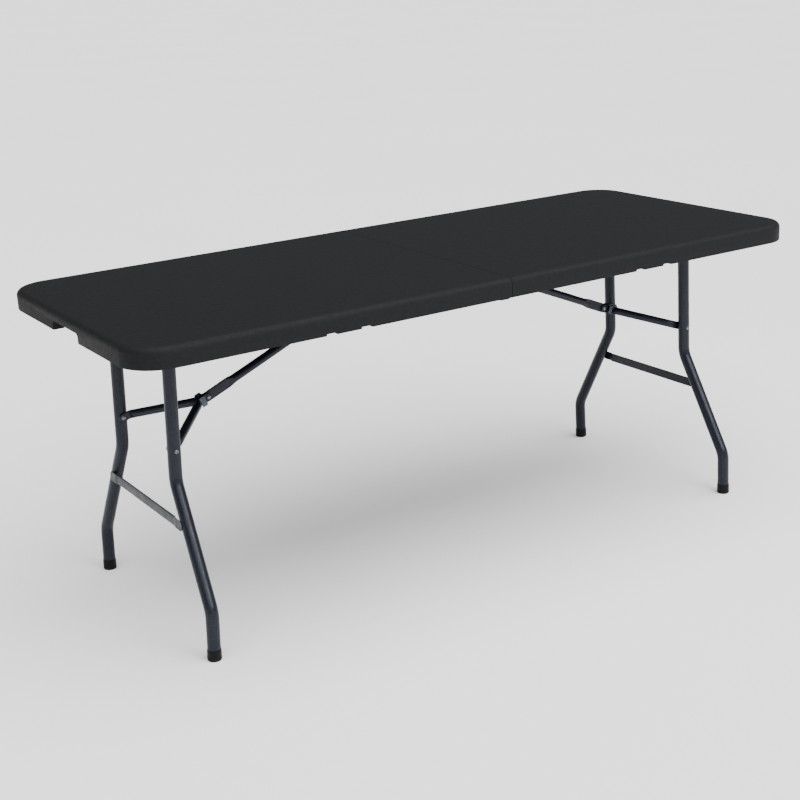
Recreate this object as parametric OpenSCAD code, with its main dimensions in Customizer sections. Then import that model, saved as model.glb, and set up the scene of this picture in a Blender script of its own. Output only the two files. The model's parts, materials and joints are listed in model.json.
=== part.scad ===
// Bi-fold banquet table: two moulded top halves, folding tube legs and locking V-braces.
// +Z is up, +X runs along the length, and the origin is on the floor under the centre.

/* [Top] */
// Length of the open table
table_l = 1830; // [1780:10:1880]
// Depth of the table from front to rear
table_w = 760; // [740:5:780]
// Height of the top surface above the floor
table_h = 740; // [730:1:750]
// Depth of the skirt around the top
skirt_h = 46; // [45:0.5:48]
// Thickness of the skirt walls
skirt_t = 26; // [22:1:28]
// Thickness of the flat deck
deck_t = 13; // [10:0.5:13]
// Plan radius of the outer corners
corner_r = 88; // [70:1:100]
// Radius of the rounded top edge
edge_r = 14; // [8:1:18]
// Gap between the two halves at the seam
seam_gap = 1; // [0.6:0.1:2]

/* [Cut-outs] */
// Width of the hand cut-out in each short end
end_cut_w = 150; // [120:5:200]
// Height of the hand cut-out in each short end
end_cut_h = 22; // [12:1:24]
// Distance of the pair of handle notches from the seam
notch_x = 430; // [400:5:460]
// Length of each handle notch
notch_l = 27; // [20:1:30]
// Height of the handle notches
notch_h = 4.5; // [4:0.1:6]

/* [Leg frames] */
// Outer diameter of the leg tube
leg_d = 30; // [25:0.5:30]
// Wall of the leg tube
leg_wall = 1.5; // [1:0.1:2]
// Distance of the leg pivot from the seam
pivot_x = 746; // [740:1:750]
// Distance of the foot from the seam
foot_x = 770; // [760:1:780]
// Height of the leg pivot
pivot_z = 710.5; // [710:0.1:711]
// Half spacing of the upper leg tubes
upper_y = 150; // [145:1:155]
// Half spacing of the lower leg tubes
lower_y = 299; // [290:1:300]
// Height of the upper bend in the leg
upper_bend_z = 368; // [350:1:380]
// Height of the lower bend in the leg
lower_bend_z = 110; // [105:1:130]
// Diameter of the pivot rod
rod_d = 20; // [18:0.5:20]
// Height of the crossbar's centre
crossbar_z = 280; // [270:1:300]
// Height of the crossbar's section
crossbar_h = 24; // [18:1:26]
// Outer diameter of the foot cap
cap_d = 32.4; // [31.6:0.1:32.4]
// Height of the foot cap
cap_h = 26; // [20:1:32]

/* [Folding brace] */
// Distance of the brace bracket's pin from the seam
bracket_x = 64; // [60:1:70]
// Height of the brace bracket's pin
bracket_z = 715; // [714.5:0.1:715]
// Slope of the arm below the horizontal
arm_slope = 22.7; // [22:0.1:23]
// Height of the rivets that hold the brace to the legs
rivet_z = 440; // [430:1:445]
// Diameter of the arm and brace tubes
brace_d = 20; // [16:0.5:20]
// Thickness of the arm's flattened ends
arm_flat_t = 6; // [5:0.5:6]
// Height of the arm's flattened lower end
arm_flat_h = 25; // [20:1:25]
// Thickness of the brace tubes' flattened ends
brace_flat_t = 4; // [3:0.5:4]
// Height of the brace tubes' flattened ends
brace_flat_h = 20; // [16:1:20]
// Length of the lock ring along the arm
ring_l = 14; // [12:1:14]

/* [Rails and hinges] */
// Distance of a rail's inner face from the centre line
rail_y = 320; // [319:1:321]
// Width of a rail
rail_w = 18; // [17:1:18]
// Wall of a rail
rail_t = 2; // [1.5:0.5:2]
// Height of a rail
rail_h = 28.5; // [28:0.1:28.5]
// Diameter of the hinge pins
hinge_d = 8; // [6:0.5:8]
// Thickness of one hinge plate
hinge_t = 3; // [2.5:0.1:3]

/* [Carry handle] */
// Width of the handle over its two arms
handle_w = 96; // [90:1:100]
// Reach of the handle from its pivot
handle_reach = 75; // [60:1:80]
// Width of the handle's arms
handle_arm_w = 10; // [8:1:10]
// Thickness of the handle
handle_t = 5.5; // [4:0.5:5.5]

/* [Hidden] */
// Hairline between two mitred lengths of leg tube
seam_w = 0.2;
// How far the weld ring reaches into each length
seam_grip = 0.5;
// Depths of the weld ring's outside and inside, as shares of the wall
seam_skin = 0.15;
seam_root = 0.45;
$fn = 48;

// Colours
plastic = [0.19, 0.19, 0.2];
slate = [0.27, 0.29, 0.34];
zinc = [0.72, 0.73, 0.76];
cap_black = [0.08, 0.08, 0.08];

// Top: levels and plan sizes
half_l = table_l / 2;
half_w = table_w / 2;
skirt_z = table_h - skirt_h;
ceiling_z = table_h - deck_t;
corner_x = half_l - corner_r;
corner_y = half_w - corner_r;
seam_x = seam_gap / 2;
seam_rim_t = 11;
hinge_slot = [332, 354];
edge_steps = 6;
cut_r = 10;
over = 1;

// Clearances
run_gap = 0.05;
plate_gap = 0.2;
side_gap = 0.4;

// Leg frame, in its own frame: z = 0 at the pivot, -z down the leg, +x outwards
leg_r = leg_d / 2;
tilt = atan((foot_x - pivot_x) / pivot_z);
leg_end = pivot_z / cos(tilt);
cap_floor = 4;
upper_bend = (pivot_z - upper_bend_z) / cos(tilt);
lower_bend = (pivot_z - lower_bend_z) / cos(tilt);
leg_top = 4;
leg_path = [[upper_y, leg_top], [upper_y, -upper_bend], [lower_y, -lower_bend],
            [lower_y, cap_floor - leg_end]];
crossbar_d = (pivot_z - crossbar_z) / cos(tilt);
crossbar_t = 5;
crossbar_tab_t = 1.5;
crossbar_tab_y = 203;
crossbar_mid_y = 172;

// Linkage in the x-z plane: bracket pin, elbow and leg rivets.  Folding flat asks the arm
// to be as long as the brace plus the distance from the bracket pin to the folded rivets.
rivet_d = (pivot_z - rivet_z) / cos(tilt);
rivet_x = pivot_x + rivet_d * sin(tilt);
span = [rivet_x - bracket_x, rivet_z - bracket_z];
folded_span = norm([pivot_x - rivet_d - bracket_x, pivot_z - bracket_z]);
arm_dir = [cos(arm_slope), -sin(arm_slope)];
arm_l = (folded_span * folded_span - span * span) / (2 * (folded_span - arm_dir * span));
elbow_x = bracket_x + arm_l * arm_dir[0];
elbow_z = bracket_z + arm_l * arm_dir[1];
brace_l = norm([rivet_x - elbow_x, rivet_z - elbow_z]);
brace_slope = atan2(elbow_z - rivet_z, rivet_x - elbow_x);

// Arm and brace details
rivet_r = 4;
brace_r = brace_d / 2;
arm_eye_r = 9;
arm_eye_l = 40;
arm_flat_l = 66;
arm_lap = 8;
brace_in_y = arm_flat_t / 2 + side_gap;
brace_mid_in = brace_in_y + brace_flat_t / 2;
brace_out_y = upper_y - leg_r - 0.5;
brace_mid_out = brace_out_y - brace_flat_t / 2;
brace_bend_in = 25;
brace_bend_out = brace_l - 17;
brace_run = [brace_bend_out - brace_bend_in, brace_mid_out - brace_mid_in];
brace_turn = atan2(brace_run[1], brace_run[0]);
brace_lap = 16;

// Lock ring: an inverted channel around the joint
ring_in_w = 12.5;
ring_wall = 2;
ring_top = 14.5;
ring_low = -11;
ring_start = 11;

// Rod clamps and bracket
clamp_y = 102;
clamp_w = 20;
clamp_r = 14;
clamp_foot_l = 30;
clamp_foot_t = 4;
clamp_screw_x = 23;
plate_t = 2;
bracket_l = 56;
bracket_w = 44;
bracket_screw_x = bracket_l / 2 - 6;
bracket_screw_y = bracket_w / 2 - 6;
ear_t = 2.5;
ear_r = 10;
ear_y = brace_in_y + 0.2;
screw_r = 2;
screw_head_r = 4;
screw_head_h = 2.5;
screw_grip = 7;

// Rails
rail_start = 14;
rail_end = 868;
rail_z = ceiling_z - rail_h;
rail_screws_x = [60, 230, 400, 570, 700, 840];

// Hinge
hinge_z = skirt_z;
hinge_r = hinge_d / 2;
hinge_eye_r = 8;
hinge_neck_l = 20;
hinge_arm_x = [13, 110];
hinge_arm_z = 6;
hinge_arm_h = 20;
hinge_head_t = 2;
hinge_head_r = hinge_r + 2;
// The left half's plates lie on the rails' outer faces, and the right half's eyes lie outside them.
rail_face_y = rail_y + rail_w;
left_plate_y = rail_face_y;
right_plate_y = left_plate_y + hinge_t + plate_gap;
pin_head_y = right_plate_y + hinge_t + plate_gap;

// Carry handle
handle_y = -(half_w - skirt_t - 8);
handle_z = skirt_z + 0.25;
handle_pin_r = 2.5;
handle_eye_r = 4.5;
lug_w = 8;
lug_gap = 0.5;
lug_x = handle_w / 2 - handle_arm_w - lug_gap - lug_w / 2;
handle_grip_w = 16;
handle_head_t = 2;
notch_spread = (handle_w - handle_arm_w) / 2;

// Seam catch
catch_x = 17;
catch_y = 11;
catch_l = 30;
catch_w = 14;
catch_h = 3;

// ---- Helpers -------------------------------------------------------------

// Mirror a right-hand part to the left half.
module left() {
  mirror([1, 0, 0]) children();
}

// Mirror a rear part to the front.
module front() {
  mirror([0, 1, 0]) children();
}

// Turn a y-axis cylinder from y0 to y1 about the point x, z.
module y_rod(x, z, y0, y1, r) {
  translate([x, y1, z]) rotate([90, 0, 0]) cylinder(h = y1 - y0, r = r);
}

module leg_frame() {
  translate([pivot_x, 0, pivot_z]) rotate([0, -tilt, 0]) children();
}

module arm_frame() {
  translate([bracket_x, 0, bracket_z]) rotate([0, arm_slope, 0]) children();
}

module brace_frame() {
  translate([elbow_x, 0, elbow_z]) rotate([0, brace_slope, 0]) children();
}

function heading(p, q) = atan2(q[1] - p[1], q[0] - p[0]);
function step(angle, d) = [d * cos(angle), d * sin(angle)];

// Move to the point p in the y-z plane, with +z turned to the heading given.
module facing(p, angle) {
  translate([0, p[0], p[1]]) rotate([angle - 90, 0, 0]) children();
}

// Heading of the mitre plane's normal at point i of a path.
function mitre(pts, i) = (heading(pts[i - 1], pts[i]) + heading(pts[i], pts[i + 1])) / 2;

// One straight length of round tube from point i of a path, mitred where the path bends.
module tube_length(pts, i, r, wall) {
  last = len(pts) - 2;
  run = norm(pts[i + 1] - pts[i]);
  start = i > 0 ? -r : 0;
  end = i < last ? run + r : run;
  difference() {
    facing(pts[i], heading(pts[i], pts[i + 1])) difference() {
      translate([0, 0, start]) cylinder(h = end - start, r = r);
      translate([0, 0, start - over]) cylinder(h = end - start + 2 * over, r = r - wall);
    }
    if (i > 0) facing(pts[i], mitre(pts, i))
      translate([-2 * r, -2 * r, seam_w / 2 - 4 * r]) cube(4 * r);
    if (i < last) facing(pts[i + 1], mitre(pts, i + 1))
      translate([-2 * r, -2 * r, -seam_w / 2]) cube(4 * r);
  }
}

// The weld inside a mitre: a thin ring buried in the walls of both lengths.
module seam_weld(pts, i, r, wall) {
  reach = seam_w / 2 + seam_grip;
  facing(pts[i], mitre(pts, i)) difference() {
    translate([0, 0, -reach]) cylinder(h = 2 * reach, r = r - seam_skin * wall);
    translate([0, 0, -reach - over]) cylinder(h = 2 * (reach + over), r = r - seam_root * wall);
  }
}

module mitred_tube(pts, r, wall) {
  for (i = [0:len(pts) - 2]) tube_length(pts, i, r, wall);
  for (i = [1:len(pts) - 2]) seam_weld(pts, i, r, wall);
}

// A countersunk-style screw that points up, with its head under z.
module screw(x, y, z) {
  translate([x, y, z - screw_head_h]) cylinder(h = screw_head_h, r = screw_head_r);
  translate([x, y, z - over / 2]) cylinder(h = screw_grip + over / 2, r = screw_r);
}

// ---- Top -----------------------------------------------------------------

// Section of the skirt and deck: x is the distance out, y is the height.
module edge_section() {
  arc = [for (i = [0:edge_steps]) [corner_r - edge_r + edge_r * cos(90 * i / edge_steps),
                                   table_h - edge_r + edge_r * sin(90 * i / edge_steps)]];
  polygon(concat([[0, table_h], [0, ceiling_z], [corner_r - skirt_t, ceiling_z],
                  [corner_r - skirt_t, skirt_z], [corner_r, skirt_z]], arc));
}

module long_edge() {
  translate([seam_x, corner_y, 0]) rotate([90, 0, 90])
    linear_extrude(corner_x - seam_x) edge_section();
}

module short_edge() {
  translate([corner_x, corner_y, 0]) rotate([90, 0, 0])
    linear_extrude(2 * corner_y) edge_section();
}

module outer_corner() {
  translate([corner_x, corner_y, 0]) rotate_extrude(angle = 90) edge_section();
}

// A low slot with rounded top corners, cut upwards from below the skirt.
module slot_outline(w, h) {
  translate([-w / 2, -over]) square([w, h + over - cut_r]);
  translate([-w / 2 + cut_r, -over]) square([w - 2 * cut_r, h + over]);
  for (s = [-1, 1]) translate([s * (w / 2 - cut_r), h - cut_r]) circle(cut_r);
}

module end_cut() {
  translate([half_l - skirt_t - over, 0, skirt_z]) rotate([90, 0, 90])
    linear_extrude(skirt_t + 2 * over) slot_outline(end_cut_w, end_cut_h);
}

module handle_notches() {
  for (s = [-1, 1])
    translate([notch_x + s * notch_spread - notch_l / 2, -half_w - over, skirt_z - over])
      cube([notch_l, skirt_t + 2 * over, notch_h + over]);
}

module panel() color(plastic) {
  difference() {
    union() {
      long_edge();
      front() long_edge();
      short_edge();
      outer_corner();
      front() outer_corner();
      translate([seam_x, -corner_y, ceiling_z])
        cube([corner_x - seam_x, 2 * corner_y, deck_t]);
      translate([seam_x, -hinge_slot[0], skirt_z])
        cube([seam_rim_t, 2 * hinge_slot[0], skirt_h - deck_t + over]);
    }
    end_cut();
    handle_notches();
  }
}

// ---- Rails, hinge and clamps ----------------------------------------------

module rail() color(slate) {
  difference() {
    translate([rail_start, rail_y, rail_z]) cube([rail_end - rail_start, rail_w, rail_h]);
    translate([rail_start - over, rail_y + rail_t, rail_z - over])
      cube([rail_end - rail_start + 2 * over, rail_w - 2 * rail_t, rail_h - rail_t + over]);
    y_rod(pivot_x, pivot_z, rail_y - over, rail_y + rail_w + over, rod_d / 2 + run_gap);
    for (x = rail_screws_x) translate([x, rail_y + rail_w / 2, rail_z])
      cylinder(h = rail_h + over, r = screw_r);
  }
}

module rail_screws() color(zinc) {
  for (x = rail_screws_x, s = [-1, 1])
    screw(x, s * (rail_y + rail_w / 2), ceiling_z - rail_t);
}

// One hinge plate from y0: an eye at the seam and an arm on the rail's outer face.
module hinge_plate(y0, bore_r) {
  difference() {
    union() {
      y_rod(0, hinge_z, y0, y0 + hinge_t, hinge_eye_r);
      translate([0, y0, hinge_z - hinge_eye_r]) cube([hinge_neck_l, hinge_t, 2 * hinge_eye_r]);
      translate([hinge_arm_x[0], y0, hinge_z + hinge_arm_z])
        cube([hinge_arm_x[1] - hinge_arm_x[0], hinge_t, hinge_arm_h]);
      translate([hinge_neck_l, rail_face_y, hinge_z + hinge_arm_z])
        cube([hinge_arm_x[1] - hinge_neck_l, y0 + hinge_t - rail_face_y, hinge_arm_h]);
    }
    y_rod(0, hinge_z, y0 - over, y0 + hinge_t + over, bore_r);
  }
}

module hinge_plates(y0, bore_r) color(zinc) {
  hinge_plate(y0, bore_r);
  front() hinge_plate(y0, bore_r);
}

module hinge_pins() color(zinc) {
  for (s = [0, 1]) mirror([0, s, 0]) {
    y_rod(0, hinge_z, left_plate_y - hinge_head_t, pin_head_y + hinge_head_t, hinge_r);
    y_rod(0, hinge_z, left_plate_y - hinge_head_t, left_plate_y, hinge_head_r);
    y_rod(0, hinge_z, pin_head_y, pin_head_y + hinge_head_t, hinge_head_r);
  }
}

module rod_clamps() color(cap_black) {
  for (s = [-1, 1]) difference() {
    union() {
      y_rod(pivot_x, pivot_z, s * clamp_y - clamp_w / 2, s * clamp_y + clamp_w / 2, clamp_r);
      translate([pivot_x - clamp_r, s * clamp_y - clamp_w / 2, pivot_z])
        cube([2 * clamp_r, clamp_w, ceiling_z - pivot_z]);
      translate([pivot_x - clamp_foot_l, s * clamp_y - clamp_w / 2, ceiling_z - clamp_foot_t])
        cube([2 * clamp_foot_l, clamp_w, clamp_foot_t]);
    }
    y_rod(pivot_x, pivot_z, s * clamp_y - clamp_w, s * clamp_y + clamp_w, rod_d / 2 + run_gap);
    for (t = [-1, 1]) translate([pivot_x + t * clamp_screw_x, s * clamp_y, rail_z])
      cylinder(h = rail_h + over, r = screw_r);
  }
}

module clamp_screws() color(zinc) {
  for (s = [-1, 1], t = [-1, 1])
    screw(pivot_x + t * clamp_screw_x, s * clamp_y, ceiling_z - clamp_foot_t);
}

// ---- Leg frame -------------------------------------------------------------

module pivot_rod() color(slate) {
  y_rod(pivot_x, pivot_z, -(rail_y + rail_w), rail_y + rail_w, rod_d / 2);
}

module leg() color(slate) leg_frame() {
  difference() {
    mitred_tube(leg_path, leg_r, leg_wall);
    y_rod(0, 0, upper_y - leg_d, upper_y + leg_d, rod_d / 2);
    y_rod(0, -rivet_d, upper_y - leg_d, upper_y + leg_d, rivet_r);
  }
}

module foot() color(cap_black) difference() {
  leg_frame() difference() {
    translate([0, lower_y, -leg_end - over]) cylinder(h = cap_h + over, r = cap_d / 2);
    translate([0, lower_y, cap_floor - leg_end]) cylinder(h = cap_h, r = leg_r);
  }
  translate([foot_x - cap_d, lower_y - cap_d, -cap_d]) cube([2 * cap_d, 2 * cap_d, cap_d]);
}

// A flat bar outside the legs, with thinner tabs welded on the legs' outer faces.
module crossbar() color(slate) leg_frame() {
  translate([0, 0, -crossbar_d - crossbar_h / 2]) linear_extrude(crossbar_h)
    polygon([[leg_r - crossbar_t, -crossbar_mid_y], [leg_r - crossbar_t, crossbar_mid_y],
             [leg_r, crossbar_mid_y], [leg_r, crossbar_tab_y],
             [leg_r + crossbar_tab_t, crossbar_tab_y],
             [leg_r + crossbar_tab_t, crossbar_mid_y - crossbar_t],
             [leg_r, crossbar_mid_y - 2 * crossbar_t], [leg_r, -crossbar_mid_y + 2 * crossbar_t],
             [leg_r + crossbar_tab_t, -crossbar_mid_y + crossbar_t],
             [leg_r + crossbar_tab_t, -crossbar_tab_y], [leg_r, -crossbar_tab_y],
             [leg_r, -crossbar_mid_y]]);
}

module leg_rivets() color(zinc) leg_frame() {
  for (s = [0, 1]) mirror([0, s, 0]) {
    y_rod(0, -rivet_d, upper_y - leg_r + 0.4, upper_y + leg_r + 1, rivet_r);
    y_rod(0, -rivet_d, upper_y + leg_r, upper_y + leg_r + 2.5, rivet_r + 2.5);
  }
}

// ---- Folding brace ---------------------------------------------------------

module brace_bracket() color(slate) {
  difference() {
    union() {
      translate([bracket_x - bracket_l / 2, -bracket_w / 2, ceiling_z - plate_t])
        cube([bracket_l, bracket_w, plate_t]);
      for (s = [0, 1]) mirror([0, s, 0]) {
        translate([bracket_x - ear_r, ear_y, bracket_z])
          cube([2 * ear_r, ear_t, ceiling_z - bracket_z - over]);
        y_rod(bracket_x, bracket_z, ear_y, ear_y + ear_t, ear_r);
      }
    }
    y_rod(bracket_x, bracket_z, -bracket_w, bracket_w, rivet_r);
    bracket_holes();
  }
}

module bracket_holes() {
  for (s = [-1, 1], t = [-1, 1])
    translate([bracket_x + t * bracket_screw_x, s * bracket_screw_y, bracket_z])
      cylinder(h = ceiling_z - bracket_z + over, r = screw_r);
}

module bracket_screws() color(zinc) {
  for (s = [-1, 1], t = [-1, 1])
    screw(bracket_x + t * bracket_screw_x, s * bracket_screw_y, ceiling_z - plate_t);
}

module bracket_pin() color(zinc) {
  reach = ear_y + ear_t;
  y_rod(bracket_x, bracket_z, -reach, reach, rivet_r);
  for (s = [0, 1]) mirror([0, s, 0]) y_rod(bracket_x, bracket_z, reach, reach + 2, rivet_r + 2);
}

module brace_arm() color(slate) arm_frame() {
  difference() {
    union() {
      y_rod(0, 0, -arm_flat_t / 2, arm_flat_t / 2, arm_eye_r);
      translate([0, -arm_flat_t / 2, -arm_eye_r]) cube([arm_eye_l, arm_flat_t, 2 * arm_eye_r]);
      translate([arm_eye_l - arm_lap, 0, 0]) rotate([0, 90, 0])
        cylinder(h = arm_l - arm_flat_l - arm_eye_l + 2 * arm_lap, r = brace_r);
      translate([arm_l - arm_flat_l, -arm_flat_t / 2, -arm_flat_h / 2])
        cube([arm_flat_l, arm_flat_t, arm_flat_h]);
      y_rod(arm_l, 0, -arm_flat_t / 2, arm_flat_t / 2, arm_flat_h / 2);
    }
    y_rod(0, 0, -arm_flat_t, arm_flat_t, rivet_r + run_gap);
    y_rod(arm_l, 0, -arm_flat_t, arm_flat_t, rivet_r);
  }
}

module elbow_rivet() color(zinc) arm_frame() {
  reach = brace_in_y + brace_flat_t + 0.1;
  y_rod(arm_l, 0, -reach, reach, rivet_r);
  for (s = [0, 1]) mirror([0, s, 0]) y_rod(arm_l, 0, reach, reach + 2.2, rivet_r + 2.5);
}

// One leg of the V: flat eye, round tube, flat eye.
module brace_tube() color(slate) brace_frame() {
  lap = step(brace_turn, brace_lap);
  side = step(brace_turn + 90, brace_flat_t / 2);
  bend_in = [brace_bend_in, brace_mid_in];
  bend_out = [brace_bend_out, brace_mid_out];
  t = brace_flat_t / 2;
  difference() {
    union() {
      y_rod(0, 0, brace_in_y, brace_in_y + brace_flat_t, brace_flat_h / 2);
      translate([0, 0, -brace_flat_h / 2]) linear_extrude(brace_flat_h)
        polygon([[0, brace_mid_in - t], bend_in + [t / 2, -t], bend_in + lap * 2 - side,
                 bend_in + lap * 2 + side, bend_in + [-t / 2, t], [0, brace_mid_in + t]]);
      translate([bend_in[0] + lap[0], bend_in[1] + lap[1], 0]) rotate([0, 0, brace_turn])
        rotate([0, 90, 0]) cylinder(h = norm(brace_run) - 2 * brace_lap, r = brace_r);
      translate([0, 0, -brace_flat_h / 2]) linear_extrude(brace_flat_h)
        polygon([bend_out - lap * 2 - side, bend_out + [t / 2, -t], [brace_l, brace_mid_out - t],
                 [brace_l, brace_mid_out + t], bend_out + [-t / 2, t],
                 bend_out - lap * 2 + side]);
      y_rod(brace_l, 0, brace_out_y - brace_flat_t, brace_out_y, brace_flat_h / 2);
    }
    y_rod(0, 0, 0, brace_in_y + 2 * brace_flat_t, rivet_r + run_gap);
  }
}

module brace_rivets() color(zinc) brace_frame() {
  for (s = [0, 1]) mirror([0, s, 0])
    y_rod(brace_l, 0, brace_out_y - brace_flat_t - 2.2, brace_out_y - brace_flat_t,
          rivet_r + 2.5);
}

module lock_ring() color(zinc) arm_frame() {
  out_w = ring_in_w + ring_wall;
  difference() {
    translate([arm_l + ring_start, -out_w, ring_low])
      cube([ring_l, 2 * out_w, ring_top + ring_wall - ring_low]);
    translate([arm_l + ring_start - over, -ring_in_w, ring_low - over])
      cube([ring_l + 2 * over, 2 * ring_in_w, ring_top - ring_low + over]);
  }
}

// ---- Handle and catch --------------------------------------------------------

// A low pad with round ends on the left half's front skirt, beside the seam.
module seam_catch() color(cap_black) {
  translate([-catch_x, -half_w + catch_y, skirt_z - catch_h]) linear_extrude(catch_h) {
    square([catch_l - catch_w, catch_w], center = true);
    for (s = [-1, 1]) translate([s * (catch_l - catch_w) / 2, 0]) circle(catch_w / 2);
  }
}

module handle_lugs() color(cap_black) difference() {
  for (s = [-1, 1]) {
    translate([-notch_x + s * lug_x - lug_w / 2, handle_y - handle_eye_r, handle_z])
      cube([lug_w, 2 * handle_eye_r, ceiling_z - handle_z]);
    translate([-notch_x + s * lug_x - lug_w / 2, handle_y, handle_z]) rotate([0, 90, 0])
      cylinder(h = lug_w, r = handle_eye_r);
  }
  translate([-notch_x - handle_w, handle_y, handle_z]) rotate([0, 90, 0])
    cylinder(h = 2 * handle_w, r = handle_pin_r);
}

module handle_pins() color(zinc) {
  inner = lug_x - lug_w / 2 - handle_head_t;
  for (s = [0, 1]) translate([-notch_x, handle_y, handle_z]) mirror([s, 0, 0]) rotate([0, 90, 0]) {
    translate([0, 0, inner]) cylinder(h = handle_w / 2 - inner, r = handle_pin_r);
    translate([0, 0, inner]) cylinder(h = handle_head_t, r = handle_pin_r + 1.5);
  }
}

module carry_handle() color(cap_black) {
  translate([-notch_x, handle_y, handle_z]) difference() {
    union() {
      for (s = [0, 1]) mirror([s, 0, 0]) {
        translate([handle_w / 2 - handle_arm_w, 0, -handle_t / 2])
          cube([handle_arm_w, handle_reach, handle_t]);
        translate([handle_w / 2 - handle_arm_w, 0, 0]) rotate([0, 90, 0])
          cylinder(h = handle_arm_w, r = handle_eye_r - 0.5);
      }
      translate([-handle_w / 2, handle_reach - handle_grip_w, -handle_t / 2])
        cube([handle_w, handle_grip_w, handle_t]);
    }
    translate([-handle_w, 0, 0]) rotate([0, 90, 0])
      cylinder(h = 2 * handle_w, r = handle_pin_r + run_gap);
  }
}

// ---- Assembly ----------------------------------------------------------------

left() panel();  // left_panel
left() front() rail();  // left_front_rail
left() rail();  // left_rear_rail
left() hinge_plates(left_plate_y, hinge_r);  // left_hinge_plates
left() rail_screws();  // left_rail_screws
left() pivot_rod();  // left_pivot_rod
left() front() leg();  // left_front_leg
left() leg();  // left_rear_leg
left() crossbar();  // left_crossbar
left() front() foot();  // left_front_foot
left() foot();  // left_rear_foot
left() leg_rivets();  // left_leg_rivets
left() rod_clamps();  // left_rod_clamps
left() clamp_screws();  // left_clamp_screws
left() brace_bracket();  // left_brace_bracket
left() bracket_screws();  // left_bracket_screws
left() bracket_pin();  // left_bracket_pin
left() brace_arm();  // left_brace_arm
left() elbow_rivet();  // left_elbow_rivet
left() front() brace_tube();  // left_front_brace_tube
left() brace_tube();  // left_rear_brace_tube
left() brace_rivets();  // left_brace_rivets
left() lock_ring();  // left_lock_ring
panel();  // right_panel
front() rail();  // right_front_rail
rail();  // right_rear_rail
hinge_plates(right_plate_y, hinge_r + run_gap);  // right_hinge_plates
rail_screws();  // right_rail_screws
pivot_rod();  // right_pivot_rod
front() leg();  // right_front_leg
leg();  // right_rear_leg
crossbar();  // right_crossbar
front() foot();  // right_front_foot
foot();  // right_rear_foot
leg_rivets();  // right_leg_rivets
rod_clamps();  // right_rod_clamps
clamp_screws();  // right_clamp_screws
brace_bracket();  // right_brace_bracket
bracket_screws();  // right_bracket_screws
bracket_pin();  // right_bracket_pin
brace_arm();  // right_brace_arm
elbow_rivet();  // right_elbow_rivet
front() brace_tube();  // right_front_brace_tube
brace_tube();  // right_rear_brace_tube
brace_rivets();  // right_brace_rivets
lock_ring();  // right_lock_ring
hinge_pins();
seam_catch();
handle_lugs();
handle_pins();
carry_handle();
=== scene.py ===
import json
import math

import bmesh
import bpy
from mathutils import Matrix, Vector


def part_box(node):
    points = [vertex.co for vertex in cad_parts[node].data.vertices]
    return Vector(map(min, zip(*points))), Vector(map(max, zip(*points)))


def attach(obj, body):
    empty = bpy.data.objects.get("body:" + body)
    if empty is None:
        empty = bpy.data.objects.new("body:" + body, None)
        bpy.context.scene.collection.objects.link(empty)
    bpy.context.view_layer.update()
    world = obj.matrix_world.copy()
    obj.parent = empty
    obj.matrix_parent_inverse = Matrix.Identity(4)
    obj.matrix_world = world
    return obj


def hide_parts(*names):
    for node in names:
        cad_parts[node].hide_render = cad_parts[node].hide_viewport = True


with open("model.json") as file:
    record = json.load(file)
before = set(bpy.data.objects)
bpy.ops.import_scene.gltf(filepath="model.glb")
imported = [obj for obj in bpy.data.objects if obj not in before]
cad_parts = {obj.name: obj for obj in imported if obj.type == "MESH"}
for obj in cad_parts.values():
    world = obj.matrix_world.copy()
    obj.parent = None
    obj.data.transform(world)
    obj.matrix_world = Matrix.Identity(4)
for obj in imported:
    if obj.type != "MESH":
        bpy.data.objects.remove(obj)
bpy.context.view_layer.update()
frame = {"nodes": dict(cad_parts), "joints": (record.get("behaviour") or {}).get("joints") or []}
MM = 0.001

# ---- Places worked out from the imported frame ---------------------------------

PANEL_LOW, PANEL_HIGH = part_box("right_panel")
SEAM_X, HALF_L, HALF_W = PANEL_LOW.x, PANEL_HIGH.x, PANEL_HIGH.y
SKIRT_Z, TOP_Z = PANEL_LOW.z, PANEL_HIGH.z
CEILING_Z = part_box("right_front_rail")[1].z
joints = {joint["name"]: joint for joint in frame["joints"]}
PIVOT = Vector(joints["right_leg_fold"]["pos_m"])
BRACKET = Vector(joints["right_arm_swing"]["pos_m"])
ELBOW = Vector(joints["right_elbow"]["pos_m"])
HANDLE = Vector(joints["handle_swing"]["pos_m"])
CROSSBAR_LOW, CROSSBAR_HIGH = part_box("right_crossbar")
RIVET_LOW, RIVET_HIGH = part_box("right_brace_rivets")
RIVETS = (RIVET_LOW + RIVET_HIGH) / 2

# ---- Driving sizes -------------------------------------------------------------

CORNER_R = 88 * MM
EDGE_R = 14 * MM
SKIRT_T = 26 * MM
LEG_R = 15 * MM
LEG_TOP = 4 * MM
UPPER_Y = 150 * MM
LOWER_Y = 299 * MM
UPPER_BEND_Z = 368 * MM
LOWER_BEND_Z = 110 * MM
LEG_BEND_R = 62 * MM
BRACE_R = 10 * MM
ARM_FLAT = (3 * MM, 12.5 * MM)
ARM_EYE = (3 * MM, 9 * MM)
BRACE_FLAT = (2 * MM, 10 * MM)
BRACE_IN_Y = 5.4 * MM
BRACE_OUT_Y = UPPER_Y - LEG_R - 2.5 * MM
NOTCH_X = 430 * MM
NOTCH_SPREAD = 43 * MM
NOTCH_L = 27 * MM
NOTCH_H = 4.5 * MM
NOTCH_CORNER_R = 3 * MM
END_CUT_L = 150 * MM
END_CUT_H = 22 * MM
END_CUT_CORNER_R = 10 * MM
CUTTER_DEPTH = 40 * MM
CUTTER_PAST = 5 * MM
HINGE_SLOT = (332 * MM, 354 * MM)
HINGE_SLOT_DEPTH = 30 * MM
CAP_R = LEG_R + 1.2 * MM
CAP_H = 26 * MM
HANDLE_REACH = 67 * MM
TILT = math.radians(joints["right_leg_fold"]["range_deg"][1] - 90)
LEG_L = PIVOT.z / math.cos(TILT)
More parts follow.
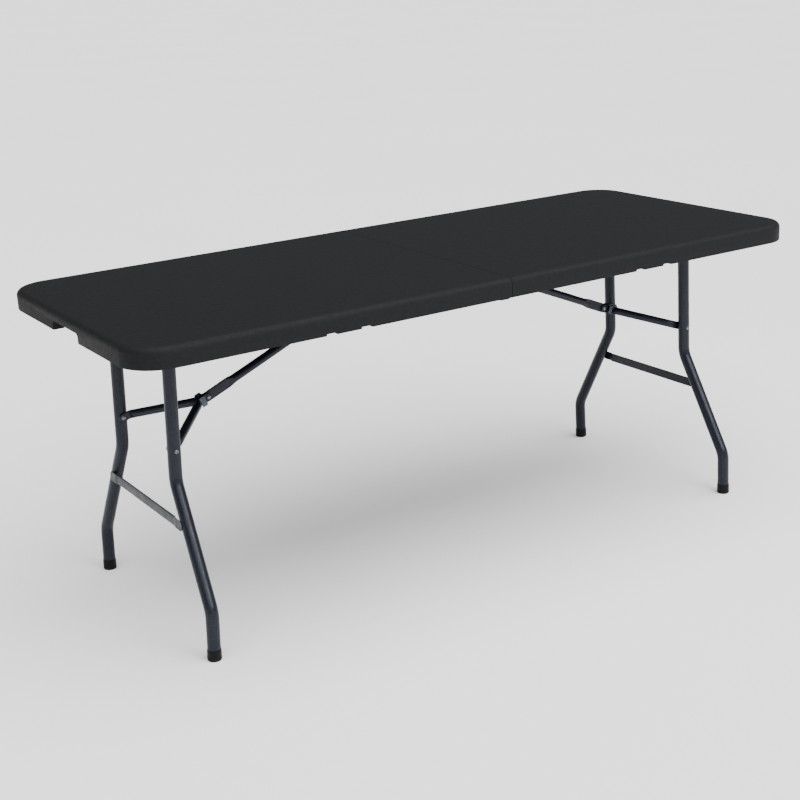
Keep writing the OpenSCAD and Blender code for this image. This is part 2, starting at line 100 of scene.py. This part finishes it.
SIDES = (("left", -1), ("right", 1))
ENDS = (("front", -1), ("rear", 1))


# ---- Materials -------------------------------------------------------------------

def new_material(name):
    material = bpy.data.materials.new(name)
    material.use_nodes = True
    nodes, links = material.node_tree.nodes, material.node_tree.links
    return material, nodes, links, nodes["Principled BSDF"]


def object_coordinates(nodes):
    return nodes.new("ShaderNodeTexCoord").outputs["Object"]


def noise(nodes, links, coordinates, scale, detail=4.0):
    texture = nodes.new("ShaderNodeTexNoise")
    texture.inputs["Scale"].default_value = scale
    texture.inputs["Detail"].default_value = detail
    links.new(coordinates, texture.inputs["Vector"])
    return texture.outputs["Fac"]


def cells(nodes, links, coordinates, scale):
    texture = nodes.new("ShaderNodeTexVoronoi")
    texture.feature = "SMOOTH_F1"
    texture.inputs["Scale"].default_value = scale
    texture.inputs["Smoothness"].default_value = 0.6
    links.new(coordinates, texture.inputs["Vector"])
    return texture.outputs["Distance"]


def spread(nodes, links, value, low, high, start=0.35, end=0.65):
    """A number from low to high as value goes from start to end."""
    node = nodes.new("ShaderNodeMapRange")
    node.inputs["From Min"].default_value = start
    node.inputs["From Max"].default_value = end
    node.inputs["To Min"].default_value = low
    node.inputs["To Max"].default_value = high
    links.new(value, node.inputs["Value"])
    return node.outputs["Result"]


def two_colours(nodes, links, value, dark, light):
    ramp = nodes.new("ShaderNodeValToRGB")
    ramp.color_ramp.elements[0].position = 0.35
    ramp.color_ramp.elements[0].color = (*dark, 1)
    ramp.color_ramp.elements[1].position = 0.65
    ramp.color_ramp.elements[1].color = (*light, 1)
    links.new(value, ramp.inputs["Fac"])
    return ramp.outputs["Color"]


def worn_edges(nodes, links, colour, worn, amount):
    """Blends in a worn colour where the surface bends outwards."""
    geometry = nodes.new("ShaderNodeNewGeometry")
    edge = spread(nodes, links, geometry.outputs["Pointiness"], 0.0, amount, 0.52, 0.62)
    mix = nodes.new("ShaderNodeMix")
    mix.data_type = "RGBA"
    links.new(edge, mix.inputs["Factor"])
    links.new(colour, mix.inputs["A"])
    mix.inputs["B"].default_value = (*worn, 1)
    return mix.outputs["Result"]


def bump(nodes, links, height, strength, distance, under=None):
    node = nodes.new("ShaderNodeBump")
    node.inputs["Strength"].default_value = strength
    node.inputs["Distance"].default_value = distance
    links.new(height, node.inputs["Height"])
    if under is not None:
        links.new(under, node.inputs["Normal"])
    return node.outputs["Normal"]


def moulded_plastic(name, dark, light, roughness, pebble, grain, specular):
    """Blow-moulded plastic: fine pebble grain, with a faint mottle in tone and gloss."""
    material, nodes, links, shader = new_material(name)
    place = object_coordinates(nodes)
    tone = noise(nodes, links, place, 160.0, 4.0)
    colour = two_colours(nodes, links, tone, dark, light)
    worn = tuple(1.5 * c for c in light)
    links.new(worn_edges(nodes, links, colour, worn, 0.3), shader.inputs["Base Color"])
    mottle = noise(nodes, links, place, 90.0, 6.0)
    links.new(spread(nodes, links, mottle, *roughness), shader.inputs["Roughness"])
    coarse = bump(nodes, links, cells(nodes, links, place, pebble), grain, 0.4 * MM)
    fine = noise(nodes, links, place, 3.1 * pebble, 2.0)
    links.new(bump(nodes, links, fine, grain * 0.6, 0.2 * MM, coarse), shader.inputs["Normal"])
    shader.inputs["Specular IOR Level"].default_value = specular
    return material


def hammered_coat(name):
    """Slate powder coat with the small dimples of a hammered finish and a thin clear gloss."""
    material, nodes, links, shader = new_material(name)
    place = object_coordinates(nodes)
    fleck = noise(nodes, links, place, 420.0, 3.0)
    colour = two_colours(nodes, links, fleck, (0.0035, 0.0046, 0.0085), (0.0125, 0.0155, 0.0260))
    links.new(worn_edges(nodes, links, colour, (0.024, 0.028, 0.040), 0.3),
              shader.inputs["Base Color"])
    haze = noise(nodes, links, place, 60.0, 4.0)
    links.new(spread(nodes, links, haze, 0.30, 0.44), shader.inputs["Roughness"])
    dimples = bump(nodes, links, cells(nodes, links, place, 330.0), 0.32, 0.35 * MM)
    links.new(bump(nodes, links, haze, 0.15, 0.6 * MM, dimples), shader.inputs["Normal"])
    shader.inputs["Metallic"].default_value = 0.2
    shader.inputs["Specular IOR Level"].default_value = 0.22
    shader.inputs["Coat Weight"].default_value = 0.06
    shader.inputs["Coat Roughness"].default_value = 0.2
    return material


def plated_steel(name, dark, light, roughness):
    """Zinc-plated steel with a faint brushed lay and cloudy patches."""
    material, nodes, links, shader = new_material(name)
    place = object_coordinates(nodes)
    stretch = nodes.new("ShaderNodeMapping")
    stretch.inputs["Scale"].default_value = (1.0, 14.0, 1.0)
    links.new(place, stretch.inputs["Vector"])
    brushed = noise(nodes, links, stretch.outputs["Vector"], 150.0, 3.0)
    cloud = noise(nodes, links, place, 120.0, 4.0)
    links.new(two_colours(nodes, links, cloud, dark, light), shader.inputs["Base Color"])
    links.new(spread(nodes, links, brushed, *roughness), shader.inputs["Roughness"])
    links.new(bump(nodes, links, brushed, 0.12, 0.1 * MM), shader.inputs["Normal"])
    shader.inputs["Metallic"].default_value = 1.0
    return material


def pale_floor(name):
    material, nodes, links, shader = new_material(name)
    patch = noise(nodes, links, object_coordinates(nodes), 0.7, 2.0)
    colour = two_colours(nodes, links, patch, (0.86, 0.86, 0.86), (0.88, 0.88, 0.88))
    links.new(colour, shader.inputs["Base Color"])
    shader.inputs["Roughness"].default_value = 0.9
    return material


TOP_PLASTIC = moulded_plastic("charcoal_top", (0.0062, 0.0065, 0.0072), (0.0078, 0.0081, 0.0089),
                              (0.62, 0.70), 520.0, 0.3, 0.12)
BLACK_PLASTIC = moulded_plastic("black_moulding", (0.0010, 0.0010, 0.0011),
                                (0.0022, 0.0022, 0.0024), (0.42, 0.54), 900.0, 0.2, 0.15)
SLATE_COAT = hammered_coat("slate_hammered_coat")
ZINC = plated_steel("bright_zinc", (0.10, 0.105, 0.115), (0.17, 0.175, 0.19), (0.24, 0.36))
LOCK_ZINC = plated_steel("blue_zinc", (0.035, 0.042, 0.056), (0.07, 0.08, 0.10), (0.22, 0.34))
FINISHES = {"top_plastic": TOP_PLASTIC, "black_plastic": BLACK_PLASTIC, "slate_coat": SLATE_COAT,
            "bright_zinc": ZINC, "lock_zinc": LOCK_ZINC}


# ---- Mesh helpers ------------------------------------------------------------------

def build(name, points, faces, material):
    """A smooth-shaded object from points and faces."""
    mesh = bpy.data.meshes.new(name)
    mesh.from_pydata([tuple(p) for p in points], [], faces)
    mesh.validate()
    work = bmesh.new()
    work.from_mesh(mesh)
    bmesh.ops.recalc_face_normals(work, faces=work.faces)
    work.to_mesh(mesh)
    work.free()
    mesh.materials.append(material)
    piece = bpy.data.objects.new(name, mesh)
    bpy.context.scene.collection.objects.link(piece)
    smooth(piece)
    return piece


def smooth(piece, angle=math.radians(32)):
    piece.data.shade_smooth()
    work = bmesh.new()
    work.from_mesh(piece.data)
    for edge in work.edges:
        if len(edge.link_faces) == 2 and edge.calc_face_angle() > angle:
            edge.smooth = False
    work.to_mesh(piece.data)
    work.free()


def apply_modifiers(piece):
    graph = bpy.context.evaluated_depsgraph_get()
    mesh = bpy.data.meshes.new_from_object(piece.evaluated_get(graph))
    piece.modifiers.clear()
    piece.data = mesh


def flipped(points, side):
    return [Vector((p[0] * side, p[1], p[2])) for p in points]


def hand_over(piece, body, slot, *nodes):
    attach(piece, body)
    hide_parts(*nodes)


def add_piece(name, form, side, body, slot, node):
    """Builds a form on one side of the seam and hands it over in place of a CAD node."""
    points, faces = form
    hand_over(build(name, flipped(points, side), faces, FINISHES[slot]), body, slot, node)


def loft(rings):
    """Points and faces of a closed bar through rings of equal count."""
    count = len(rings[0])
    points = [p for ring in rings for p in ring]
    faces = []
    for i in range(len(rings) - 1):
        for k in range(count):
            n = (k + 1) % count
            faces.append((i * count + k, i * count + n, (i + 1) * count + n, (i + 1) * count + k))
    faces.append(tuple(reversed(range(count))))
    faces.append(tuple(range((len(rings) - 1) * count, len(rings) * count)))
    return points, faces


def section(centre, across, up, half_w, half_h, power=2.0, count=32):
    """One ring: an ellipse at power 2, nearly a rectangle at power 8."""
    ring = []
    for k in range(count):
        angle = 2 * math.pi * k / count
        c, s = math.cos(angle), math.sin(angle)
        ring.append(centre + across * (half_w * math.copysign(abs(c) ** (2 / power), c))
                    + up * (half_h * math.copysign(abs(s) ** (2 / power), s)))
    return ring


def rounded_path(corners, radius, step):
    """Points along straight runs joined by arcs, about a step apart, in the x-y plane."""
    points = [corners[0]]
    for before, corner, after in zip(corners, corners[1:], corners[2:]):
        way_in = (corner - before).normalized()
        way_out = (after - corner).normalized()
        half = way_in.angle(way_out) / 2
        reach = radius * math.tan(half)
        start, end = corner - way_in * reach, corner + way_out * reach
        middle = corner + (way_out - way_in).normalized() * (radius / math.cos(half))
        points += straight(points[-1], start, step)
        for i in range(1, 11):
            a, b = start - middle, end - middle
            t = i / 10
            turn = 2 * half
            points.append(middle + (a * math.sin((1 - t) * turn) + b * math.sin(t * turn))
                          / math.sin(turn))
    return points + straight(points[-1], corners[-1], step)


def straight(start, end, step):
    count = max(1, round((end - start).length / step))
    return [start.lerp(end, i / count) for i in range(1, count + 1)]


def ease(t):
    t = min(1.0, max(0.0, t))
    return t * t * (3 - 2 * t)


def bar(path, up, size_at, count=32):
    """A bar along a path. size_at(travelled, total) gives half width, half height and power."""
    travelled = [0.0]
    for a, b in zip(path, path[1:]):
        travelled.append(travelled[-1] + (b - a).length)
    rings = []
    for i, point in enumerate(path):
        ahead = path[min(i + 1, len(path) - 1)] - path[max(i - 1, 0)]
        across = ahead.cross(up).normalized()
        rings.append(section(point, across, up, *size_at(travelled[i], travelled[-1]), count))
    return loft(rings)


def lathe(profile, origin, axis, count=40):
    """A turned solid. The profile's points are (radius, distance along axis)."""
    axis = axis.normalized()
    side = axis.orthogonal().normalized()
    other = axis.cross(side)
    rings = []
    for radius, along in profile:
        centre = origin + axis * along
        rings.append([centre + (side * math.cos(a) + other * math.sin(a)) * radius
                      for a in (2 * math.pi * k / count for k in range(count))])
    return loft(rings)


def joined(*parts):
    points, faces = [], []
    for part_points, part_faces in parts:
        shift = len(points)
        points += part_points
        faces += [tuple(i + shift for i in face) for face in part_faces]
    return points, faces


def turned(points, origin, slope):
    """Points given in a frame whose x axis slopes down by that angle, moved to origin."""
    turn = Matrix.Rotation(slope, 4, "Y")
    return [origin + (turn @ Vector(p)) for p in points]


def leg_points(points):
    """Points given in the leg's own frame: z = 0 at the pivot, -z down the leg."""
    return turned(points, PIVOT, -TILT)


# ---- Table top -------------------------------------------------------------------------

def plan_ring(inset, z, seam=SEAM_X, steps=22):
    """The half's plan outline, moved in by inset, with a straight seam side."""
    radius = CORNER_R - inset
    cx, cy = HALF_L - CORNER_R, HALF_W - CORNER_R
    ring = [Vector((seam, -HALF_W + inset, z))]
    for sign, first in ((-1, -90), (1, 0)):
        for i in range(steps + 1):
            a = math.radians(first + 90 * i / steps)
            ring.append(Vector((cx + radius * math.cos(a), sign * cy + radius * math.sin(a), z)))
    ring.append(Vector((seam, HALF_W - inset, z)))
    return ring


def outer_form():
    rings = [plan_ring(0.9 * MM, SKIRT_Z), plan_ring(0.2 * MM, SKIRT_Z + 0.7 * MM),
             plan_ring(0, SKIRT_Z + 2 * MM)]
    steps = 10
    for i in range(steps + 1):
        a = math.radians(90 * i / steps)
        rings.append(plan_ring(EDGE_R * (1 - math.cos(a)), TOP_Z - EDGE_R * (1 - math.sin(a))))
    return loft(rings)


def cavity_form():
    seam = SEAM_X + 11 * MM
    rings = [plan_ring(SKIRT_T - 1.5 * MM, SKIRT_Z - 2 * MM, seam),
             plan_ring(SKIRT_T, SKIRT_Z + 2 * MM, seam),
             plan_ring(SKIRT_T + 0.6 * MM, TOP_Z - 3 * MM, seam)]
    return loft(rings)


def slot_form(centre_y, width, height, x0, x1, radius):
    """A cutter through the skirt, with rounded top corners, from below the skirt."""
    outline = [(centre_y - width / 2, SKIRT_Z - CUTTER_PAST)]
    for sign, first in ((-1, 180), (1, 90)):
        for i in range(9):
            a = math.radians(first - 90 * i / 8)
            outline.append((centre_y + sign * (width / 2 - radius) + radius * math.cos(a),
                            SKIRT_Z + height - radius + radius * math.sin(a)))
    outline.append((centre_y + width / 2, SKIRT_Z - CUTTER_PAST))
    return loft([[Vector((x, y, z)) for y, z in outline] for x in (x0, x1)])


def block_form(low, high):
    ring = [(low[0], low[1]), (high[0], low[1]), (high[0], high[1]), (low[0], high[1])]
    return loft([[Vector((x, y, z)) for x, y in ring] for z in (low[2], high[2])])


def quarter_turned(points):
    """The same form turned so that what ran along x runs along -y."""
    return [Vector((p.y, -p.x, p.z)) for p in points]


def panel_cutters():
    end_cut = slot_form(0, END_CUT_L, END_CUT_H, HALF_L - CUTTER_DEPTH, HALF_L + CUTTER_PAST,
                        END_CUT_CORNER_R)
    cutters = [cavity_form(), end_cut]
    for side in (-1, 1):
        notch, notch_faces = slot_form(NOTCH_X + side * NOTCH_SPREAD, NOTCH_L, NOTCH_H,
                                       HALF_W - CUTTER_DEPTH, HALF_W + CUTTER_PAST,
                                       NOTCH_CORNER_R)
        cutters.append((quarter_turned(notch), notch_faces))
        y = sorted((side * HINGE_SLOT[0], side * HINGE_SLOT[1]))
        cutters.append(block_form((SEAM_X - CUTTER_PAST, y[0], SKIRT_Z - CUTTER_PAST),
                                  (SEAM_X + HINGE_SLOT_DEPTH, y[1], CEILING_Z)))
    return cutters


def liner_form():
    """The moulding's inner skin, with rows of small cones that rise into the double wall."""
    pitch, cone_r, cone_h, step = 52 * MM, 11 * MM, 6 * MM, 4.3 * MM
    low_x, high_x = SEAM_X + 6 * MM, HALF_L - 14 * MM
    reach = HALF_W - 14 * MM
    cx, cy = HALF_L - CORNER_R, HALF_W - CORNER_R
    nx, ny = round((high_x - low_x) / step), round(2 * reach / step)
    points = []
    for top in (False, True):
        for i in range(nx + 1):
            for k in range(ny + 1):
                x = low_x + (high_x - low_x) * i / nx
                y = reach * (2 * k / ny - 1)
                rise = 0.0
                if not top:
                    gap = math.hypot((x + pitch / 2) % pitch - pitch / 2,
                                     (y + pitch / 2) % pitch - pitch / 2)
                    rise = cone_h * ease((cone_r - gap) / (0.7 * cone_r))
                out_x, out_y = x - cx, abs(y) - cy
                if out_x > 0 and out_y > 0:
                    keep = max(out_x, out_y) / math.hypot(out_x, out_y)
                    x = cx + out_x * keep
                    y = math.copysign(cy + out_y * keep, y)
                points.append(Vector((x, y, TOP_Z - 4 * MM if top else CEILING_Z + rise)))
    row, layer = ny + 1, (nx + 1) * (ny + 1)
    faces = []
    for i in range(nx):
        for k in range(ny):
            a = i * row + k
            faces.append((a, a + 1, a + row + 1, a + row))
            faces.append((layer + a, layer + a + row, layer + a + row + 1, layer + a + 1))
    rim = [i * row for i in range(nx + 1)] + [nx * row + k for k in range(1, row)]
    rim += [i * row + ny for i in range(nx - 1, -1, -1)] + list(range(ny - 1, 0, -1))
    for a, b in zip(rim, rim[1:] + rim[:1]):
        faces.append((a, b, layer + b, layer + a))
    return points, faces


def bevel(piece, width, segments=3, angle=40):
    modifier = piece.modifiers.new("edges", "BEVEL")
    modifier.width = width
    modifier.segments = segments
    modifier.limit_method = "ANGLE"
    modifier.angle_limit = math.radians(angle)


def make_panel(side_name, side):
    points, faces = outer_form()
    piece = build(f"{side_name}_top_moulding", flipped(points, side), faces, TOP_PLASTIC)
    helpers = []
    for cut_points, cut_faces in panel_cutters():
        cutter = build("cutter", flipped(cut_points, side), cut_faces, TOP_PLASTIC)
        modifier = piece.modifiers.new("cut", "BOOLEAN")
        modifier.operation = "DIFFERENCE"
        modifier.solver = "EXACT"
        modifier.object = cutter
        helpers.append(cutter)
    bevel(piece, 1.2 * MM)
    apply_modifiers(piece)
    for cutter in helpers:
        bpy.data.objects.remove(cutter)
    smooth(piece)
    hand_over(piece, f"{side_name}_half", "top_plastic", f"{side_name}_panel")
    points, faces = liner_form()
    liner = build(f"{side_name}_top_liner", flipped(points, side), faces, TOP_PLASTIC)
    smooth(liner, math.radians(60))
    hand_over(liner, f"{side_name}_half", "top_plastic", f"{side_name}_panel")


# ---- Leg frames ------------------------------------------------------------------------

def leg_form(end):
    corners = [Vector((end * y, z, 0)) for y, z in (
        (UPPER_Y, LEG_TOP), (UPPER_Y, (UPPER_BEND_Z - PIVOT.z) / math.cos(TILT)),
        (LOWER_Y, (LOWER_BEND_Z - PIVOT.z) / math.cos(TILT)), (LOWER_Y, 6 * MM - LEG_L))]
    path = rounded_path(corners, LEG_BEND_R, 24 * MM)
    path.insert(1, path[0].lerp(path[1], 0.06))

    def size(travelled, total):
        inside = min(travelled / (1.5 * MM), 1)
        radius = LEG_R - 1.2 * MM * (1 - inside)
        return radius, radius, 2.0

    points, faces = bar(path, Vector((0, 0, 1)), size, 40)
    return leg_points([(p.z, p.x, p.y) for p in points]), faces


def foot_form(end):
    radius, height = CAP_R, CAP_H
    groove = radius - 0.7 * MM
    profile = [(0.1 * MM, -0.6 * MM), (radius - 2.4 * MM, -0.6 * MM), (groove, 0.6 * MM),
               (radius, 2.6 * MM), (radius, 5 * MM), (groove, 5.8 * MM), (groove, 7 * MM),
               (radius, 7.8 * MM), (radius - 0.15 * MM, 20 * MM),
               (radius - 0.15 * MM, height - 2 * MM), (groove, height - 0.5 * MM),
               (LEG_R + 0.5 * MM, height), (LEG_R - 0.8 * MM, height)]
    points, faces = lathe(profile, Vector((0, end * LOWER_Y, -LEG_L)), Vector((0, 0, 1)), 48)
    placed = leg_points(points)
    for point in placed:
        point.z = max(point.z, 0.0)
    return placed, faces


def crossbar_form():
    """A flattened tube outside the legs, pressed thinner where it is welded to them."""
    half, height = CROSSBAR_HIGH.y, 12 * MM
    weld_y, tab_l, blend_l = 158 * MM, 31 * MM, 14 * MM
    depth = (CROSSBAR_LOW.z + CROSSBAR_HIGH.z) / 2 - PIVOT.z
    path = []
    for i in range(-60, 61):
        y = half * i / 60
        near_end = ease((abs(y) - weld_y) / blend_l)
        path.append(Vector((y, LEG_R - 2.5 * MM + 3.2 * MM * near_end, 0)))

    def size(travelled, total):
        from_end = min(travelled, total - travelled)
        full = ease((from_end - tab_l) / blend_l)
        thick = 0.8 * MM + 1.7 * MM * full
        tall = height * min(1, 0.55 + 0.45 * ease(from_end / (7 * MM)))
        return thick, tall, 5.0 - 2.0 * full

    points, faces = bar(path, Vector((0, 0, 1)), size, 32)
    return leg_points([(p.y, p.x, p.z + depth / math.cos(TILT)) for p in points]), faces


def rivet_head(origin, axis, radius, height, sink=1 * MM):
    profile = [(radius * 0.9, -sink), (radius, 0)]
    for i in range(1, 8):
        a = math.radians(90 * i / 8)
        profile.append((radius * math.cos(a), height * math.sin(a)))
    profile.append((0.05 * radius, height))
    return lathe(profile, origin, axis, 32)


def make_leg_frame(side_name, side):
    body = f"{side_name}_leg_frame"
    for end_name, end in ENDS:
        part = f"{side_name}_{end_name}"
        add_piece(f"{part}_leg_tube", leg_form(end), side, body, "slate_coat", f"{part}_leg")
        add_piece(f"{part}_foot_cap", foot_form(end), side, body, "black_plastic",
                  f"{part}_foot")
    add_piece(f"{side_name}_flat_crossbar", crossbar_form(), side, body, "slate_coat",
              f"{side_name}_crossbar")
    heads = [rivet_head(Vector((RIVETS.x, end * (UPPER_Y + LEG_R - 0.4 * MM), RIVETS.z)),
                        Vector((0, end, 0)), 5 * MM, 2.4 * MM) for end in (-1, 1)]
    add_piece(f"{side_name}_leg_rivet_heads", joined(*heads), side, body, "bright_zinc",
              f"{side_name}_leg_rivets")


# ---- Folding brace -----------------------------------------------------------------------

ARM_SLOPE = math.atan2(BRACKET.z - ELBOW.z, ELBOW.x - BRACKET.x)
ARM_L = math.hypot(BRACKET.z - ELBOW.z, ELBOW.x - BRACKET.x)
BRACE_SLOPE = math.atan2(ELBOW.z - RIVETS.z, RIVETS.x - ELBOW.x)
BRACE_L = math.hypot(ELBOW.z - RIVETS.z, RIVETS.x - ELBOW.x)


def flattened(travelled, total, first, last, first_l, last_l, blend_l, tube):
    """Half sizes of a tube whose ends are pressed flat and rounded off about their rivets."""
    to_first = 1 - ease((travelled - first_l) / blend_l)
    to_last = 1 - ease((total - travelled - last_l) / blend_l)
    flat, share = (first, to_first) if to_first > to_last else (last, to_last)
    width = tube + (flat[0] - tube) * share
    height = tube + (flat[1] - tube) * share
    near = min(travelled / first[1], (total - travelled) / last[1], 1)
    height *= max(0.1, math.sqrt(max(0.0, 1 - (1 - near) ** 2)))
    return width, height, 2.0 + 4.0 * ease(share)


def fine_ends(start, end, step, radius):
    """Distances along a bar, closer together over its rounded ends."""
    total = end - start
    arc = [radius * (1 - math.cos(math.radians(90 * i / 9))) for i in range(9)]
    middle = [radius + (total - 2 * radius) * i / round(total / step)
              for i in range(round(total / step) + 1)]
    return [start + t for t in arc + middle + [total - a for a in reversed(arc)]]


def arm_form():
    start, end = -ARM_EYE[1], ARM_L + ARM_FLAT[1]
    path = [Vector((x, 0, 0)) for x in fine_ends(start, end, 9 * MM, 9 * MM)]
    points, faces = bar(path, Vector((0, 0, 1)), lambda travelled, total: flattened(
        travelled, total, ARM_EYE, ARM_FLAT, 38 * MM, 70 * MM, 16 * MM, BRACE_R), 40)
    return turned(points, BRACKET, ARM_SLOPE), faces


def brace_tube_form(end):
    radius = BRACE_FLAT[1]
    inner_run, outer_run = 25 * MM, 17 * MM
    corners = [Vector((x, end * y, 0)) for x, y in (
        (0, BRACE_IN_Y), (inner_run, BRACE_IN_Y),
        (BRACE_L - outer_run, BRACE_OUT_Y), (BRACE_L, BRACE_OUT_Y))]
    path = rounded_path(corners, 16 * MM, 6 * MM)
    arc = [radius * math.cos(math.radians(90 * i / 8)) for i in range(8)]
    way = Vector((1, 0, 0))
    path = [path[0] - way * a for a in arc] + path + [path[-1] + way * a for a in reversed(arc)]
    points, faces = bar(path, Vector((0, 0, 1)), lambda travelled, total: flattened(
        travelled, total, BRACE_FLAT, BRACE_FLAT, 34 * MM, 24 * MM, 18 * MM, BRACE_R), 36)
    return turned(points, ELBOW, BRACE_SLOPE), faces


def ring_form():
    """The lock ring: a strip of sheet bent over the joint with rounded corners."""
    half, top, low, length = 13.5 * MM, 15.5 * MM, -11 * MM, 14 * MM
    past_elbow = 18 * MM
    corners = [Vector((-half, low, 0)), Vector((-half, top, 0)), Vector((half, top, 0)),
               Vector((half, low, 0))]
    path = rounded_path(corners, 5 * MM, 4 * MM)
    points, faces = bar(path, Vector((0, 0, 1)),
                        lambda travelled, total: (1 * MM, length / 2, 7.0), 28)
    middle = ARM_L + past_elbow
    return turned([(p.z + middle, p.x, p.y) for p in points], BRACKET, ARM_SLOPE), faces


def make_brace(side_name, side):
    add_piece(f"{side_name}_arm_tube", arm_form(), side, f"{side_name}_arm", "slate_coat",
              f"{side_name}_brace_arm")
    reach = 7.5 * MM
    heads = [rivet_head(ELBOW + Vector((0, end * reach, 0)), Vector((0, end, 0)), 5.4 * MM,
                        2.2 * MM) for end in (-1, 1)]
    add_piece(f"{side_name}_elbow_rivet_heads", joined(*heads), side, f"{side_name}_arm",
              "bright_zinc", f"{side_name}_elbow_rivet")
    for end_name, end in ENDS:
        part = f"{side_name}_{end_name}"
        add_piece(f"{part}_v_tube", brace_tube_form(end), side, f"{side_name}_v_brace",
                  "slate_coat", f"{part}_brace_tube")
    heads = [rivet_head(Vector((RIVETS.x, end * RIVET_HIGH.y, RIVETS.z)), Vector((0, -end, 0)),
                        5.4 * MM, 2 * MM, 0.4 * MM) for end in (-1, 1)]
    add_piece(f"{side_name}_brace_rivet_heads", joined(*heads), side, f"{side_name}_v_brace",
              "bright_zinc", f"{side_name}_brace_rivets")
    add_piece(f"{side_name}_lock_band", ring_form(), side, f"{side_name}_lock", "lock_zinc",
              f"{side_name}_lock_ring")


# ---- Handle and small parts ------------------------------------------------------------------

def make_handle():
    half, reach = NOTCH_SPREAD, HANDLE_REACH
    corners = [Vector((-half, 0, 0)), Vector((-half, reach, 0)), Vector((half, reach, 0)),
               Vector((half, 0, 0))]
    path = rounded_path(corners, 14 * MM, 5 * MM)

    def size(travelled, total):
        grip = ease((min(travelled, total - travelled) - 58 * MM) / (24 * MM))
        return 5 * MM + 3 * MM * grip, 2.75 * MM, 3.2

    points, faces = bar(path, Vector((0, 0, 1)), size, 32)
    eyes = [lathe([(2.2 * MM, -5 * MM), (3.6 * MM, -5 * MM), (4 * MM, -4.4 * MM),
                   (4 * MM, 4.4 * MM), (3.6 * MM, 5 * MM), (2.2 * MM, 5 * MM)],
                  Vector((side * half, 0, 0)), Vector((1, 0, 0)), 32) for side in (-1, 1)]
    points, faces = joined((points, faces), *eyes)
    handle = build("carry_handle_bail", [HANDLE + Vector(p) for p in points], faces, BLACK_PLASTIC)
    hand_over(handle, "handle", "black_plastic", "carry_handle")


def soften(node, body, slot, width):
    """A copy of a CAD node with its flat faces merged and its edges rounded."""
    mesh = frame["nodes"][node].data.copy()
    mesh.materials.clear()
    mesh.materials.append(FINISHES[slot])
    work = bmesh.new()
    work.from_mesh(mesh)
    bmesh.ops.remove_doubles(work, verts=work.verts, dist=0.005 * MM)
    bmesh.ops.dissolve_limit(work, angle_limit=math.radians(1.5), verts=work.verts,
                             edges=work.edges)
    work.to_mesh(mesh)
    work.free()
    piece = bpy.data.objects.new(f"{node}_finished", mesh)
    bpy.context.scene.collection.objects.link(piece)
    bevel(piece, width, 2, 35)
    apply_modifiers(piece)
    smooth(piece)
    hand_over(piece, body, slot, node)


def make_hardware():
    for side_name, _ in SIDES:
        half = f"{side_name}_half"
        for kind in ("front_rail", "rear_rail"):
            soften(f"{side_name}_{kind}", half, "slate_coat", 0.6 * MM)
        soften(f"{side_name}_brace_bracket", half, "slate_coat", 0.5 * MM)
        soften(f"{side_name}_hinge_plates", half, "bright_zinc", 0.5 * MM)
        soften(f"{side_name}_rod_clamps", half, "black_plastic", 0.9 * MM)
        soften(f"{side_name}_pivot_rod", f"{side_name}_leg_frame", "slate_coat", 0.8 * MM)
        for kind in ("rail_screws", "clamp_screws", "bracket_screws", "bracket_pin"):
            soften(f"{side_name}_{kind}", half, "bright_zinc", 0.4 * MM)
    soften("hinge_pins", "left_half", "bright_zinc", 0.4 * MM)
    soften("handle_pins", "left_half", "bright_zinc", 0.3 * MM)
    soften("handle_lugs", "left_half", "black_plastic", 0.7 * MM)
    soften("seam_catch", "left_half", "black_plastic", 1 * MM)


# ---- Studio ------------------------------------------------------------------------------------

def make_camera():
    """The camera stands at the left end, in front of and above the table."""
    data = bpy.data.cameras.new("camera")
    data.sensor_width = 36
    data.lens = 63.507
    camera = bpy.data.objects.new("camera", data)
    bpy.context.scene.collection.objects.link(camera)
    right = Vector((0.83643, -0.54643, -0.04248))
    up = Vector((0.20384, 0.23820, 0.94959))
    back = right.cross(up)
    turn = Matrix((right, up, back)).transposed().to_4x4()
    camera.matrix_world = Matrix.Translation((-1.88327, -2.85732, 1.47604)) @ turn
    bpy.context.scene.camera = camera


def add_light(kind, name, place, target, power):
    data = bpy.data.lights.new(name, kind)
    data.energy = power
    light = bpy.data.objects.new(name, data)
    bpy.context.scene.collection.objects.link(light)
    light.location = place
    light.rotation_euler = (Vector(target) - Vector(place)).to_track_quat("-Z", "Y").to_euler()
    return data


def softbox(name, place, target, size, power):
    data = add_light("AREA", name, place, target, power)
    data.shape = "RECTANGLE"
    data.size, data.size_y = size


def make_studio():
    """A wide pale floor under a broad soft overhead light, with one soft box in front."""
    bpy.ops.mesh.primitive_plane_add(size=400, location=(0, 0, -0.0005))
    floor = bpy.context.object
    floor.name = "floor"
    floor.data.materials.append(pale_floor("pale_floor"))
    world = bpy.data.worlds.new("studio")
    world.use_nodes = True
    world.node_tree.nodes["Background"].inputs["Color"].default_value = (1, 1, 1, 1)
    world.node_tree.nodes["Background"].inputs["Strength"].default_value = 0.22
    bpy.context.scene.world = world
    dome = add_light("SUN", "dome", (0.2, -2.2, 5.0), (0, 0, 0), 7.0)
    dome.angle = math.radians(88)
    softbox("key", (0.8, -3.8, 2.8), (0, 0, 0.5), (2.0, 1.4), 70)


for side_name, side in SIDES:
    make_panel(side_name, side)
    make_leg_frame(side_name, side)
    make_brace(side_name, side)
make_handle()
make_hardware()
make_camera()
make_studio()
